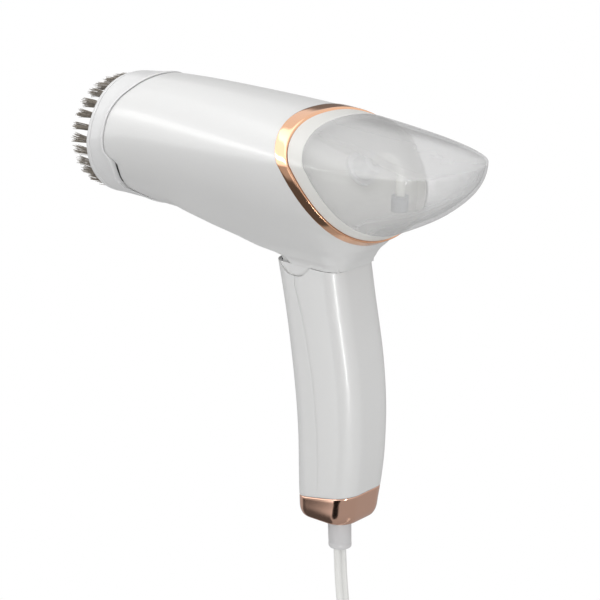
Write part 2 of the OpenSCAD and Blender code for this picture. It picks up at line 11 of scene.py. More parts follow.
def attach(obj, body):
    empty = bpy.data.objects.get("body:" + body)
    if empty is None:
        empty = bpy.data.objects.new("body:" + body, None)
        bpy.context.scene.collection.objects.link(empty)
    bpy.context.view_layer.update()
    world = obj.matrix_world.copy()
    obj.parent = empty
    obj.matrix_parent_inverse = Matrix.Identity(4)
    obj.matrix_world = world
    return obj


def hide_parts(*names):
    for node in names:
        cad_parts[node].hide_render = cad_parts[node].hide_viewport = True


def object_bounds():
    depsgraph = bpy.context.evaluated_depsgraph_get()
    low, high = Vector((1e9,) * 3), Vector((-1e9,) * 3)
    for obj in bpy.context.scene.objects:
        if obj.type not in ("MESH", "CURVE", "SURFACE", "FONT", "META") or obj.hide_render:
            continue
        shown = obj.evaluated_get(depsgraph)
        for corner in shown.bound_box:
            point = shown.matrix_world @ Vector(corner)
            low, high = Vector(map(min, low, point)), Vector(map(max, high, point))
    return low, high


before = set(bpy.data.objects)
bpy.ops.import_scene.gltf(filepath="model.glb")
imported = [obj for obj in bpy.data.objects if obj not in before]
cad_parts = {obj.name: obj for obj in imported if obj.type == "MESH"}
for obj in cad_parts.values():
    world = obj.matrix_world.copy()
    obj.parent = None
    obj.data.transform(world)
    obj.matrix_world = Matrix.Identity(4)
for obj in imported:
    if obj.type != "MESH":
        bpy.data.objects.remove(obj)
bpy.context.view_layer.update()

MM = 0.001
WALL = 2.4
LEAN = math.radians(35)
JC = np.array([151.9, 0.0, 1.5])                                # centre of the tank joint
JN = np.array([math.cos(LEAN), 0.0, math.sin(LEAN)])            # out of the joint
JU = np.array([-math.sin(LEAN), 0.0, math.cos(LEAN)])           # up in the joint plane
PIVOT = np.array([132.5, 0.0, -39.1])
SEAM_Z = -44.8
TOP_Z = SEAM_Z - 0.3                                            # top edge of the grip
CAP_Z = -185.2                                                  # lower edge of the end cap's wall
NOSE_X = 225.8                                                  # last station of the tank
CORD_X = 152.0
PLUG_Z = -282.0
RIM_R, WAIST, GRIP = 36.8, 45.6, 18.0

# head outline: x, half width, top, crease level, bottom
HEAD = [
    [0.0, RIM_R - 1.2, 33.6, 1, -31.2], [1.6, RIM_R, 34.7, 2, -32.0],
    [12, RIM_R + 0.9, 36.1, 6, -32.2], [28, 38.2, 37.1, 9.5, -32.6],
    [50, 39.5, 37.5, 10.7, -33.3], [80, 41.7, 36.9, 12.3, -34.3],
    [110, 43.8, 35.8, 14, -35.2], [135, 45.2, 34.1, 15.3, -35.0],
    [150, WAIST, 32.4, 15.9, -34.2], [162, WAIST, 30.6, 16.3, -32.9],
    [172, WAIST, 29.0, 16.5, -30.2], [182, WAIST * 0.986, 27.3, 16.6, -23.8],
    [192, WAIST * 0.952, 25.2, 16.6, -19], [200, WAIST * 0.902, 23.5, 16.6, -15],
    [207, WAIST * 0.833, 21.9, 16.6, -11], [212, WAIST * 0.762, 20.7, 16.6, -7.4],
    [217, WAIST * 0.660, 19.6, 16.6, -3.4], [221, WAIST * 0.538, 18.5, 16.5, 0.6],
    [224, WAIST * 0.386, 17.6, 16.1, 5], [NOSE_X, WAIST * 0.200, 17.2, 15.6, 10]]
# neck and grip outlines: level, front x, rear x, half width, corner radius
NECK = [
    [SEAM_Z, 116.4, 160.1, GRIP, 9.6], [-42.4, 116.0, 161.3, GRIP + 0.5, 10],
    [-40.6, 113.5, 162.3, GRIP + 1.6, 11], [-39, 100, 163.6, GRIP + 2.3, 13],
    [-36, 86.2, 165.9, GRIP + 3.6, 15], [-31, 64.5, 169.8, GRIP + 6.8, 18],
    [-25, 47, 170.5, GRIP + 10, 20], [-15, 43, 160, GRIP + 12, 20]]
GRIPS = [
    [TOP_Z, 116.4, 159.6, GRIP, 9.6], [-62, 120.5, 162.7, GRIP + 0.1, 9.6],
    [-78, 123.8, 166.1, GRIP + 0.1, 9.6], [-94, 126.5, 169.3, GRIP, 9.6],
    [-111, 129.1, 171.5, GRIP - 0.1, 9.6], [-127, 131.0, 172.6, GRIP - 0.2, 9.6],
    [-143, 132.1, 172.6, GRIP - 0.4, 9.6], [-159, 132.5, 171.5, GRIP - 0.6, 9.6],
    [-171, 132.8, 170.0, GRIP - 0.9, 9.6], [-179.5, 133.2, 168.8, GRIP - 1.2, 9.6],
    [-183.2, 134.2, 167.3, GRIP - 2.0, 9.6], [CAP_Z, 137.2, 164.0, GRIP - 5.0, 8]]
# parting line of the grip: level, x
PARTING = [[-44, 133], [-54, 133], [-66, 137], [-84, 141.5], [-108, 146.5], [-135, 149.6], [-165, 150.4],
           [-200, 150.4]]
# seam between brush ring and barrel: level, x; it steps back into a finger tab under the side
SEAM = [[60, 27], [40, 24.6], [33, 21.4], [26, 17.2], [18, 14.7], [8, 14.2], [0, 14.3], [-1.4, 14.6],
        [-3.2, 16.4], [-5.2, 18.3], [-7.4, 18.9], [-13, 18.3], [-20, 16.9], [-22.4, 18.2], [-24.2, 22.2],
        [-25.6, 27.2], [-27, 30.6], [-29, 32.2], [-36, 33], [-60, 33]]


def curve_of(xs, ys):
    """A smooth curve through the points that keeps their rises and falls."""
    xs, ys = np.array(xs, float), np.array(ys, float)
    if xs[0] > xs[-1]:
        xs, ys = xs[::-1], ys[::-1]
    h = np.diff(xs)
    d = np.diff(ys) / h
    m = np.zeros(len(xs))
    for i in range(1, len(xs) - 1):
        if d[i - 1] * d[i] > 0:
            w1, w2 = 2 * h[i] + h[i - 1], h[i] + 2 * h[i - 1]
            m[i] = (w1 + w2) / (w1 / d[i - 1] + w2 / d[i])
    m[0], m[-1] = d[0], d[-1]

    def f(x):
        x = np.clip(x, xs[0], xs[-1])
        i = np.clip(np.searchsorted(xs, x) - 1, 0, len(h) - 1)
        t = (x - xs[i]) / h[i]
        return ((1 + 2 * t) * (1 - t) ** 2 * ys[i] + t * (1 - t) ** 2 * h[i] * m[i]
                + t * t * (3 - 2 * t) * ys[i + 1] + t * t * (t - 1) * h[i] * m[i + 1])
    return f


def eased(f, lo, hi, sigma, keep_lo, keep_hi):
    """The curve f with its small wobbles smoothed out between keep_lo and keep_hi."""
    x = np.linspace(lo, hi, int((hi - lo) / 0.25) + 1)
    y = f(x)
    n = int(3 * sigma / 0.25)
    k = np.exp(-0.5 * (np.arange(-n, n + 1) * 0.25 / sigma) ** 2)
    k /= k.sum()
    padded = np.concatenate([2 * y[0] - y[n:0:-1], y, 2 * y[-1] - y[-2:-n - 2:-1]])
    soft = np.convolve(padded, k, "valid")
    a = np.clip((x - keep_lo[0]) / (keep_lo[1] - keep_lo[0]), 0, 1)
    b = np.clip((keep_hi[1] - x) / (keep_hi[1] - keep_hi[0]), 0, 1)
    w = a * a * (3 - 2 * a) * b * b * (3 - 2 * b)
    table = y * (1 - w) + soft * w
    return lambda v: np.interp(v, x, table)


def column(rows, i):
    return curve_of([r[0] for r in rows], [r[i] for r in rows])


HW, TOP, CREASE, BOTTOM = (eased(column(HEAD, i), 0, NOSE_X, 7, (2, 14), (176, 192)) for i in (1, 2, 3, 4))
# outlines of the neck and grip by level: front, rear, half width, corner radius
N_F, N_R, N_W, N_C = NECKS = [column(NECK, i) for i in (1, 2, 3, 4)]
G_F, G_R, G_W, G_C = [eased(column(GRIPS, i), CAP_Z, TOP_Z, 5, (-179, -168), (-52, TOP_Z))
                      for i in (1, 2, 3, 4)]
PART_X = eased(column(PARTING, 1), -200, -44, 4, (-200, -190), (-60, -52))
SEAM_X = column(SEAM, 1)
# roundness of the arch above the crease and of the bowl below it, and how sharply they meet
E_UP, E_DN, KINK = 2.25, 2.06, 0.30


def head_point(x, th, inset=0.0):
    """A point of the head's skin at station x and section angle th; the arch meets the bowl at a crease."""
    w = np.maximum(HW(x) - inset, 0.3)
    c = CREASE(x)
    up = np.maximum(TOP(x) - inset - c, 0.3)
    dn = np.maximum(c - BOTTOM(x) - inset, 0.3)
    k = KINK * up
    h = up + k
    f0 = np.arcsin((k / h) ** (E_UP / 2))
    phi = f0 + (np.pi - 2 * f0) * np.clip(th / np.pi, 0, 1)
    cu = np.cos(phi)
    yu = w * np.sign(cu) * np.abs(cu) ** (2 / E_UP) / np.cos(f0) ** (2 / E_UP)
    zu = c - k + h * np.maximum(np.sin(phi), 0) ** (2 / E_UP)
    cl = np.cos(th)
    yl = w * np.sign(cl) * np.abs(cl) ** (2 / E_DN)
    zl = c - dn * np.abs(np.sin(th)) ** (2 / E_DN)
    upper = th <= np.pi
    return np.stack([x + 0 * th, np.where(upper, yu, yl), np.where(upper, zu, zl)], -1)


def solve_x(g, th):
    lo, hi = np.full_like(th, -5.0), np.full_like(th, NOSE_X)
    for _ in range(34):
        mid = (lo + hi) / 2
        past = g(mid) > 0
        hi = np.where(past, mid, hi)
        lo = np.where(past, lo, mid)
    return (lo + hi) / 2


NTH = 256
TH = np.linspace(0, 2 * np.pi, NTH, endpoint=False)


def joint_x(d, inset=0.0):
    return solve_x(lambda x: (head_point(x, TH, inset) - JC) @ JN - d, TH)


def joint_loop(d, inset=0.0):
    return head_point(joint_x(d, inset), TH, inset)


def seam_loop(d, inset=0.0):
    x = solve_x(lambda v: v - SEAM_X(head_point(v, TH, inset)[:, 2]) - d, TH)
    return head_point(x, TH, inset)


def x_loop(x, inset=0.0):
    return head_point(np.full(NTH, float(x)), TH, inset)


def x_circle(x, r, z=0.0):
    return np.stack([np.full(NTH, float(x)), r * np.cos(TH), z + r * np.sin(TH)], -1)


def joint_circle(d, r):
    return JC + d * JN + r * (np.cos(TH)[:, None] * np.array([0, 1.0, 0]) + np.sin(TH)[:, None] * JU)


def link(obj):
    bpy.context.scene.collection.objects.link(obj)
    return obj


def mesh_object(name, verts, faces, smooth=40):
    me = bpy.data.meshes.new(name)
    verts = [tuple(v) for v in np.asarray(verts, float) * MM]
    me.from_pydata(verts, [], [tuple(map(int, f)) for f in faces])
    me.validate()
    bm = bmesh.new()
    bm.from_mesh(me)
    bmesh.ops.recalc_face_normals(bm, faces=bm.faces)
    if bm.calc_volume(signed=True) < 0:
        bmesh.ops.reverse_faces(bm, faces=bm.faces)
    bm.to_mesh(me)
    bm.free()
    obj = link(bpy.data.objects.new(name, me))
    shade(obj, smooth)
    return obj


def shade(obj, angle=40):
    me = obj.data
    me.polygons.foreach_set("use_smooth", [True] * len(me.polygons))
    me.set_sharp_from_angle(angle=math.radians(angle))
    me.update()


def stitch(name, loops, ring=False, smooth=40):
    """A skin through loops of equal length: a closed ring of loops, or both ends capped."""
    n, count = len(loops[0]), len(loops)
    verts = list(np.concatenate(loops))
    faces = []
    for j in range(count if ring else count - 1):
        a, b = j * n, ((j + 1) % count) * n
        for i in range(n):
            k = (i + 1) % n
            faces.append((a + i, a + k, b + k, b + i))
    if not ring:
        for base in (0, (count - 1) * n):
            hub = len(verts)
            verts.append(np.mean(loops[base // n], axis=0))
            faces += [(base + i, base + (i + 1) % n, hub) for i in range(n)]
    return mesh_object(name, verts, faces, smooth)


def lathe(name, profile, origin, axis, n=64, ring=True, smooth=40):
    """A turned piece: profile rows are (along, radius); a radius of 0 closes it on the axis."""
    axis = np.array(axis, float) / np.linalg.norm(axis)
    side = np.cross(axis, [0, 1, 0] if abs(axis[1]) < 0.9 else [0, 0, 1])
    side /= np.linalg.norm(side)
    other = np.cross(axis, side)
    a = np.linspace(0, 2 * np.pi, n, endpoint=False)
    turn = np.cos(a)[:, None] * side + np.sin(a)[:, None] * other
    loops = [np.array(origin, float) + s * axis + max(r, 0.0) * turn for s, r in profile]
    return stitch(name, loops, ring=ring, smooth=smooth)


def rounded(profile, radius, steps=4, closed=True):
    """The (a, b) profile with its corners rounded."""
    out = []
    pts = [np.array(p, float) for p in profile]
    for i, p in enumerate(pts):
        if not closed and i in (0, len(pts) - 1):
            out.append(p)
            continue
        q0, q1 = pts[i - 1], pts[(i + 1) % len(pts)]
        r = min(radius, 0.45 * np.linalg.norm(q0 - p), 0.45 * np.linalg.norm(q1 - p))
        a = p + (q0 - p) / np.linalg.norm(q0 - p) * r
        b = p + (q1 - p) / np.linalg.norm(q1 - p) * r
        for t in np.linspace(0, 1, steps):
            out.append((1 - t) ** 2 * a + 2 * t * (1 - t) * p + t * t * b)
    return out


def dense(profile, step, closed=True):
    out = []
    count = len(profile) if closed else len(profile) - 1
    for i in range(count):
        a, b = np.array(profile[i], float), np.array(profile[(i + 1) % len(profile)], float)
        parts = max(1, int(np.linalg.norm(b - a) / step))
        out += [a + (b - a) * t / parts for t in range(parts)]
    return out if closed else out + [np.array(profile[-1], float)]


def applied(obj):
    """Bakes the object's modifiers into its mesh."""
    dg = bpy.context.evaluated_depsgraph_get()
    me = bpy.data.meshes.new_from_object(obj.evaluated_get(dg))
    obj.modifiers.clear()
    old = obj.data
    obj.data = me
    bpy.data.meshes.remove(old)
    me.name = obj.name
    return obj


def cut(obj, cutter, operation="DIFFERENCE"):
    m = obj.modifiers.new("cut", "BOOLEAN")
    m.operation, m.object, m.solver = operation, cutter, "EXACT"
    applied(obj)
    bpy.data.objects.remove(cutter)


def voxel(objs, name, size):
    """One closed skin round all the objects."""
    bm = bmesh.new()
    for o in objs:
        bm.from_mesh(o.data)
        bpy.data.objects.remove(o)
    me = bpy.data.meshes.new(name)
    bm.to_mesh(me)
    bm.free()
    obj = link(bpy.data.objects.new(name, me))
    m = obj.modifiers.new("voxel", "REMESH")
    m.mode, m.voxel_size, m.adaptivity = "VOXEL", size * MM, 0.0
    return applied(obj)


def block(name, lo, hi):
    x, y, z = [(lo[i], hi[i]) for i in range(3)]
    v = [(a, b, c) for a in x for b in y for c in z]
    f = [(0, 1, 3, 2), (4, 6, 7, 5), (0, 4, 5, 1), (2, 3, 7, 6), (0, 2, 6, 4), (1, 5, 7, 3)]
    return mesh_object(name, v, f)


def prism(name, outline, y0, y1):
    """A polygon in x and z, drawn out along y."""
    n = len(outline)
    v = [(x, y, z) for y in (y0, y1) for x, z in outline]
    f = [tuple(range(n)), tuple(range(2 * n - 1, n - 1, -1))]
    f += [(i, (i + 1) % n, n + (i + 1) % n, n + i) for i in range(n)]
    return mesh_object(name, v, f)


def points_of(obj):
    co = np.zeros(len(obj.data.vertices) * 3, np.float32)
    obj.data.vertices.foreach_get("co", co)
    return co.reshape(-1, 3).astype(float) / MM


def set_points(obj, p):
    obj.data.vertices.foreach_set("co", (p * MM).astype(np.float32).ravel())
    obj.data.update()


def relax(obj, p, mask, rounds):
    """Evens out the masked points against their neighbours."""
    e = np.zeros(len(obj.data.edges) * 2, np.int64)
    obj.data.edges.foreach_get("vertices", e)
    e = e.reshape(-1, 2)
    count = np.bincount(e.ravel(), minlength=len(p)).astype(float)[:, None]
    for _ in range(rounds):
        s = np.zeros_like(p)
        for a in range(3):
            s[:, a] = np.bincount(e[:, 0], p[e[:, 1], a], len(p))
            s[:, a] += np.bincount(e[:, 1], p[e[:, 0], a], len(p))
        p = p + (s / np.maximum(count, 1) - p) * 0.5 * mask[:, None]
    return p


# ---------------------------------------------------------------- materials

def shader(name):
    mat = bpy.data.materials.new(name)
    mat.use_nodes = True
    nt = mat.node_tree
    return mat, nt, nt.nodes, nt.nodes["Principled BSDF"]


def add(nt, kind, inputs=None, **props):
    n = nt.nodes.new(kind)
    for k, v in props.items():
        setattr(n, k, v)
    for k, v in (inputs or {}).items():
        n.inputs[k].default_value = v
    return n


def finish(name, colour, rough, metal, vary, scale, bump, grain, coat=0.0,
           brushed=(1, 1, 1), flake=0.0, wear=0.0):
    """Moulded or metal surface: cloudy colour, uneven gloss and fine grain, stretched by brushed."""
    mat, nt, nodes, bsdf = shader(name)
    where = add(nt, "ShaderNodeTexCoord")
    mapping = add(nt, "ShaderNodeMapping", {"Scale": brushed})
    nt.links.new(where.outputs["Object"], mapping.inputs["Vector"])
    cloud = add(nt, "ShaderNodeTexNoise", {"Scale": scale, "Detail": 4.0, "Roughness": 0.55})
    fine = add(nt, "ShaderNodeTexNoise", {"Scale": grain, "Detail": 3.0, "Roughness": 0.6})
    nt.links.new(where.outputs["Object"], cloud.inputs["Vector"])
    nt.links.new(mapping.outputs["Vector"], fine.inputs["Vector"])
    mix = add(nt, "ShaderNodeMix", data_type="RGBA")
    mix.inputs[6].default_value = (*[c * (1 - vary) for c in colour], 1)
    mix.inputs[7].default_value = (*[min(1, c * (1 + vary)) for c in colour], 1)
    nt.links.new(cloud.outputs["Fac"], mix.inputs[0])
    out = mix.outputs[2]
    if flake:
        cells = add(nt, "ShaderNodeTexVoronoi", {"Scale": 5200.0})
        nt.links.new(where.outputs["Object"], cells.inputs["Vector"])
        spark = add(nt, "ShaderNodeMix", data_type="RGBA", blend_type="ADD")
        spark.inputs[0].default_value = flake
        nt.links.new(out, spark.inputs[6])
        grey = add(nt, "ShaderNodeRGBToBW")
        nt.links.new(cells.outputs["Color"], grey.inputs[0])
        nt.links.new(grey.outputs[0], spark.inputs[7])
        out = spark.outputs[2]
    if wear:
        geo = add(nt, "ShaderNodeNewGeometry")
        edge = add(nt, "ShaderNodeMapRange", {"From Min": 0.53, "From Max": 0.62, "To Max": wear})
        nt.links.new(geo.outputs["Pointiness"], edge.inputs["Value"])
        lift = add(nt, "ShaderNodeMix", data_type="RGBA")
        lift.inputs[7].default_value = (*[min(1, c * 1.3 + 0.06) for c in colour], 1)
        nt.links.new(edge.outputs["Result"], lift.inputs[0])
        nt.links.new(out, lift.inputs[6])
        out = lift.outputs[2]
    nt.links.new(out, bsdf.inputs["Base Color"])
    gloss = add(nt, "ShaderNodeMapRange", {"To Min": rough * 0.85, "To Max": rough * 1.15})
    nt.links.new(fine.outputs["Fac"], gloss.inputs["Value"])
    nt.links.new(gloss.outputs["Result"], bsdf.inputs["Roughness"])
    bsdf.inputs["Metallic"].default_value = metal
    bsdf.inputs["Coat Weight"].default_value = coat
    bsdf.inputs["Coat Roughness"].default_value = 0.12
    b = add(nt, "ShaderNodeBump", {"Strength": bump, "Distance": 0.0002})
    nt.links.new(fine.outputs["Fac"], b.inputs["Height"])
    nt.links.new(b.outputs["Normal"], bsdf.inputs["Normal"])
    return mat


def clear(name, tint, body, low, high):
    """Smoky clear plastic: mostly see-through face on, milkier towards its edges, with painted shade
    darkening its body colour there.
    """
    mat, nt, nodes, bsdf = shader(name)
    where = add(nt, "ShaderNodeTexCoord")
    cloud = add(nt, "ShaderNodeTexNoise", {"Scale": 45.0, "Detail": 3.0})
    nt.links.new(where.outputs["Object"], cloud.inputs["Vector"])
    mix = add(nt, "ShaderNodeMix", data_type="RGBA")
    mix.inputs[6].default_value = (*[c * 0.95 for c in body], 1)
    mix.inputs[7].default_value = (*body, 1)
    nt.links.new(cloud.outputs["Fac"], mix.inputs[0])
    face = add(nt, "ShaderNodeLayerWeight", {"Blend": 0.35})
    # painted shade: the body colour falls to 0.45 of itself where the piece is seen edge on
    rim = add(nt, "ShaderNodeMix", data_type="RGBA")
    rim.inputs[7].default_value = (*[c * 0.45 for c in body], 1)
    nt.links.new(face.outputs["Facing"], rim.inputs[0])
    nt.links.new(mix.outputs[2], rim.inputs[6])
    nt.links.new(rim.outputs[2], bsdf.inputs["Base Color"])
    gloss = add(nt, "ShaderNodeMapRange", {"To Min": 0.064, "To Max": 0.104})
    nt.links.new(cloud.outputs["Fac"], gloss.inputs["Value"])
    nt.links.new(gloss.outputs["Result"], bsdf.inputs["Roughness"])
    bsdf.inputs["Coat Weight"].default_value = 0.4
    thin = add(nt, "ShaderNodeBsdfTransparent", {"Color": (*tint, 1)})
    share = add(nt, "ShaderNodeMapRange", {"To Min": low, "To Max": high})
    nt.links.new(face.outputs["Facing"], share.inputs["Value"])
    both = add(nt, "ShaderNodeMixShader")
    nt.links.new(share.outputs["Result"], both.inputs[0])
    nt.links.new(thin.outputs[0], both.inputs[1])
    nt.links.new(bsdf.outputs[0], both.inputs[2])
    nt.links.new(both.outputs[0], nodes["Material Output"].inputs["Surface"])
    return mat


# colour, roughness, metal, colour variation and its scale, bump, grain scale, clear coat
M = {
    "pearl": finish("pearl_paint", (0.665, 0.665, 0.66), 0.36, 0.05, 0.015, 30, 0.02, 2500, 0.25,
                    flake=0.02),
    "white": finish("white_moulding", (0.70, 0.70, 0.70), 0.30, 0.0, 0.02, 40, 0.03, 2200, 0.2),
    "cream": finish("cream_moulding", (0.66, 0.655, 0.63), 0.36, 0.0, 0.02, 40, 0.03, 2200, 0.1),
    "gold": finish("rose_gold_plate", (0.90, 0.52, 0.33), 0.10, 1.0, 0.03, 30, 0.01, 1500),
    "cap": finish("rose_gold_cap", (0.80, 0.50, 0.38), 0.16, 1.0, 0.03, 30, 0.01, 1500),
    "dark": finish("dark_moulding", (0.045, 0.047, 0.05), 0.45, 0.0, 0.12, 50, 0.12, 1600),
    "steel": finish("turned_steel", (0.62, 0.62, 0.63), 0.24, 1.0, 0.06, 90, 0.06, 700,
                    brushed=(1, 1, 9)),
    "spring": finish("spring_wire", (0.55, 0.55, 0.56), 0.3, 1.0, 0.1, 90, 0.6, 260,
                     brushed=(9, 1, 1)),
    "alloy": finish("cast_alloy", (0.50, 0.51, 0.53), 0.48, 0.85, 0.1, 45, 0.35, 520, wear=0.5),
    "plate": finish("polished_plate", (0.70, 0.70, 0.71), 0.18, 1.0, 0.04, 60, 0.05, 900,
                    brushed=(1, 6, 1)),
    "silicone": finish("red_silicone", (0.50, 0.09, 0.06), 0.55, 0.0, 0.1, 70, 0.12, 1300),
    "orange": finish("duct_silicone", (0.62, 0.17, 0.09), 0.5, 0.0, 0.1, 70, 0.12, 1300),
    "hose": finish("milky_hose", (0.78, 0.78, 0.74), 0.32, 0.0, 0.05, 70, 0.05, 1200, 0.2),
    "copper": finish("enamelled_wire", (0.62, 0.24, 0.09), 0.28, 0.9, 0.12, 80, 0.9, 420,
                     brushed=(14, 1, 1)),
    "ceramic": finish("ceramic", (0.70, 0.66, 0.52), 0.6, 0.0, 0.08, 90, 0.2, 900),
    "board": finish("circuit_board", (0.02, 0.15, 0.07), 0.35, 0.0, 0.3, 420, 0.1, 1500, 0.3),
    "blue": finish("component_blue", (0.03, 0.10, 0.26), 0.4, 0.0, 0.1, 80, 0.1, 1300),
    "red": finish("plunger_red", (0.55, 0.05, 0.03), 0.4, 0.0, 0.1, 80, 0.1, 1300),
    "rubber": finish("black_rubber", (0.02, 0.02, 0.02), 0.6, 0.0, 0.1, 80, 0.2, 900),
    "brass": finish("pin_plating", (0.72, 0.68, 0.56), 0.2, 1.0, 0.05, 70, 0.05, 800,
                    brushed=(6, 1, 1), wear=0.4),
    "sleeve": finish("grey_sleeve", (0.60, 0.595, 0.60), 0.36, 0.0, 0.03, 50, 0.08, 1500),
    "cord": finish("cord_sheath", (0.76, 0.76, 0.74), 0.40, 0.0, 0.03, 50, 0.06, 1300),
    "bristle": finish("bristle", (0.24, 0.21, 0.175), 0.5, 0.0, 0.6, 700, 0.1, 2500),
    "mesh": finish("sintered_filter", (0.46, 0.47, 0.48), 0.7, 0.2, 0.2, 600, 1.0, 900),
    # tint of what shows through, body colour, share of body face on and at the edges
    "tank": clear("smoky_tank", (0.985, 0.985, 0.985), (0.86, 0.86, 0.86), 0.14, 0.74),
    "lens": clear("amber_lens", (0.95, 0.75, 0.5), (0.9, 0.6, 0.35), 0.35, 0.8),
}


def place(obj, body, mat, slot, *nodes):
    """Gives a piece its material and body, and hides the CAD nodes that it stands in for; slot is not used.
    """
    obj.data.materials.clear()
    obj.data.materials.append(M[mat])
    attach(obj, body)
    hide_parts(*nodes)


# ---------------------------------------------------------------- barrel and neck

def f_head(p):
    """Signed distance, nearly, to the head's skin."""
    x, y, z = p.T
    c, w = CREASE(x), HW(x)
    up, dn = TOP(x) - c, c - BOTTOM(x)
    k = KINK * up
    h = up + k
    f0 = np.arcsin((k / h) ** (E_UP / 2))
    w2 = w / np.cos(f0) ** (2 / E_UP)
    upper = ((np.abs(y) / w2) ** E_UP + (np.maximum(z - c + k, 0) / h) ** E_UP) ** (1 / E_UP)
    lower = ((np.abs(y) / w) ** E_DN + (np.maximum(c - z, 0) / dn) ** E_DN) ** (1 / E_DN)
    centre = np.where(z > c, c - k, c)
    r = np.hypot(y, z - centre)
    return r * (1 - 1 / np.maximum(np.where(z > c, upper, lower), 1e-6))


def f_neck(p):
    x, y, z = p.T
    f, r, w, c = N_F(z), N_R(z), N_W(z), N_C(z)
    qx = np.abs(x - (f + r) / 2) - ((r - f) / 2 - c)
    qy = np.abs(y) - (w - c)
    side = np.hypot(np.maximum(qx, 0), np.maximum(qy, 0)) + np.minimum(np.maximum(qx, qy), 0) - c
    return np.maximum(side, z + 15)


def f_body(p, k=7.0):
    a, b = f_head(p), f_neck(p)
    h = np.clip(0.5 + 0.5 * (b - a) / k, 0, 1)
    return b * (1 - h) + a * h - k * h * (1 - h)


def settle(p, f, rounds=4):
    """Moves points onto the skin where f is zero."""
    for _ in range(rounds):
        v = f(p)
        g = np.stack([(f(p + e) - f(p - e)) / 0.1 for e in np.eye(3) * 0.05], -1)
        step = (v / np.maximum((g ** 2).sum(1), 0.05))[:, None] * g
        n = np.linalg.norm(step, axis=1, keepdims=True)
        p = p - step * np.minimum(1, 1.0 / np.maximum(n, 1e-9))
    return p


def head_loft(name, x0, x1, step, inset=0.0):
    xs = np.linspace(x0, x1, max(2, int((x1 - x0) / step)))
    loops = []
    for x in xs:
        loop = x_loop(min(max(x, 0.0), NOSE_X), inset)
        loop[:, 0] = x
        loops.append(loop)
    return stitch(name, loops)


def plan_loop(f, r, w, c, z, inset, n=16):
    pts = []
    c2 = c - inset
    for cx, cy, a0 in ((r - c, w - c, 0), (f + c, w - c, 90), (f + c, c - w, 180), (r - c, c - w, 270)):
        for a in np.radians(a0 + np.linspace(0, 90, n)):
            pts.append((cx + c2 * math.cos(a), cy + c2 * math.sin(a), z))
    return np.array(pts)


def plan_loft(name, fs, z0, z1, step, inset=0.0):
    zs = np.linspace(z0, z1, max(2, int(abs(z1 - z0) / step)))
    return stitch(name, [plan_loop(*(float(f(z)) for f in fs), z, inset) for z in zs])


def full_side(x, z):
    """How much the long sides of the grip swell at x."""
    mid, reach = (G_F(z) + G_R(z)) / 2, (G_R(z) - G_F(z)) / 2
    return 1 + 0.05 * np.clip(1 - ((x - mid) / reach) ** 2, 0, 1)


def folded_grips(name, inset, step):
    parts = []
    for a in np.arange(0, 81, step):
        o = plan_loft("sweep", (G_F, G_R, G_W, G_C), -127, TOP_Z, 4, inset)
        p = points_of(o)
        p[:, 1] *= full_side(p[:, 0], p[:, 2])
        p -= PIVOT
        t = math.radians(a)
        x = p[:, 0] * math.cos(t) + p[:, 2] * math.sin(t)
        z = -p[:, 0] * math.sin(t) + p[:, 2] * math.cos(t)
        set_points(o, np.stack([x, p[:, 1], z], -1) + PIVOT)
        parts.append(o)
    return voxel(parts, name, 1.0)


barrel = voxel([head_loft("a", -4, 190, 2), plan_loft("b", NECKS, -52, -15, 1)], "barrel", 1.0)
p = settle(points_of(barrel), f_body)
near_crease = np.abs(p[:, 2] - CREASE(p[:, 0])) < 3.0
p = relax(barrel, p, (near_crease & (np.abs(p[:, 1]) > 20)).astype(float), 10)
p = relax(barrel, p, (np.abs(f_head(p)) < 4) & (np.abs(f_neck(p)) < 4) & (p[:, 2] < 0), 6)
# rolled edge at the brush seam, and a scoop behind the finger tab
SCOOP, ROLL_IN = 2.6, 0.5
sx = SEAM_X(p[:, 2]) + 0.35
edge = np.clip(1 - (p[:, 0] - sx) / 1.6, 0, 1) ** 2 * (p[:, 0] > sx - 4)
deep = (np.clip(1 - (p[:, 0] - sx) / 7.5, 0, 1) ** 1.5 * np.clip((p[:, 2] + 25) / 5, 0, 1)
        * np.clip((-4.5 - p[:, 2]) / 5, 0, 1) * (p[:, 0] > sx - 4))
centre = np.stack([p[:, 0], 0 * p[:, 1], 0 * p[:, 2] + 2], -1)
inward = centre - p
inward /= np.linalg.norm(inward, axis=1, keepdims=True)
p = p + inward * (SCOOP * deep + ROLL_IN * edge)[:, None]
set_points(barrel, p)

# keep what lies behind the brush seam, ahead of the tank joint and above the fold seam
front = [(SEAM_X(z) + 0.35, z) for z in np.linspace(44, -40, 85)]
low = JC[0] + (JC[2] - SEAM_Z) * math.tan(LEAN)
high = JC[0] - (44 - JC[2]) * math.tan(LEAN)
keep = prism("keep", front + [(60, SEAM_Z), (low, SEAM_Z), (high, 44)], -60, 60)
cut(barrel, keep, "INTERSECT")
hollow = voxel([head_loft("a", -4, 188, 4, WALL), plan_loft("b", NECKS, -60, -17, 2, WALL)], "hollow", 1.6)
skin = folded_grips("skin", -3.0, 10)
guard = block("guard", (119.2, -15.1, -90), (190, 15.1, -20))
cut(skin, guard)
cut(hollow, skin)
cut(barrel, hollow)
cut(barrel, folded_grips("pocket", -0.6, 8))
# room for the trigger as the handle folds in
for t in np.radians((56, 64, 72, 80)):
    o = block("trigger_room", (120.2, -7.8, -99.8), (131, 7.8, -74.2))
    p = points_of(o) - PIVOT
    set_points(o, np.stack([p[:, 0] * math.cos(t) + p[:, 2] * math.sin(t), p[:, 1],
                            p[:, 2] * math.cos(t) - p[:, 0] * math.sin(t)], -1) + PIVOT)
    cut(barrel, o)
drum = [(-14.9, 0), (-14.9, 15.1), (14.9, 15.1), (14.9, 0)]
cut(barrel, lathe("drum", drum, PIVOT, (0, 1, 0), ring=False))
shade(barrel, 35)
place(barrel, "head", "pearl", "barrel_housing", "barrel_housing")

# ---------------------------------------------------------------- rings and tank

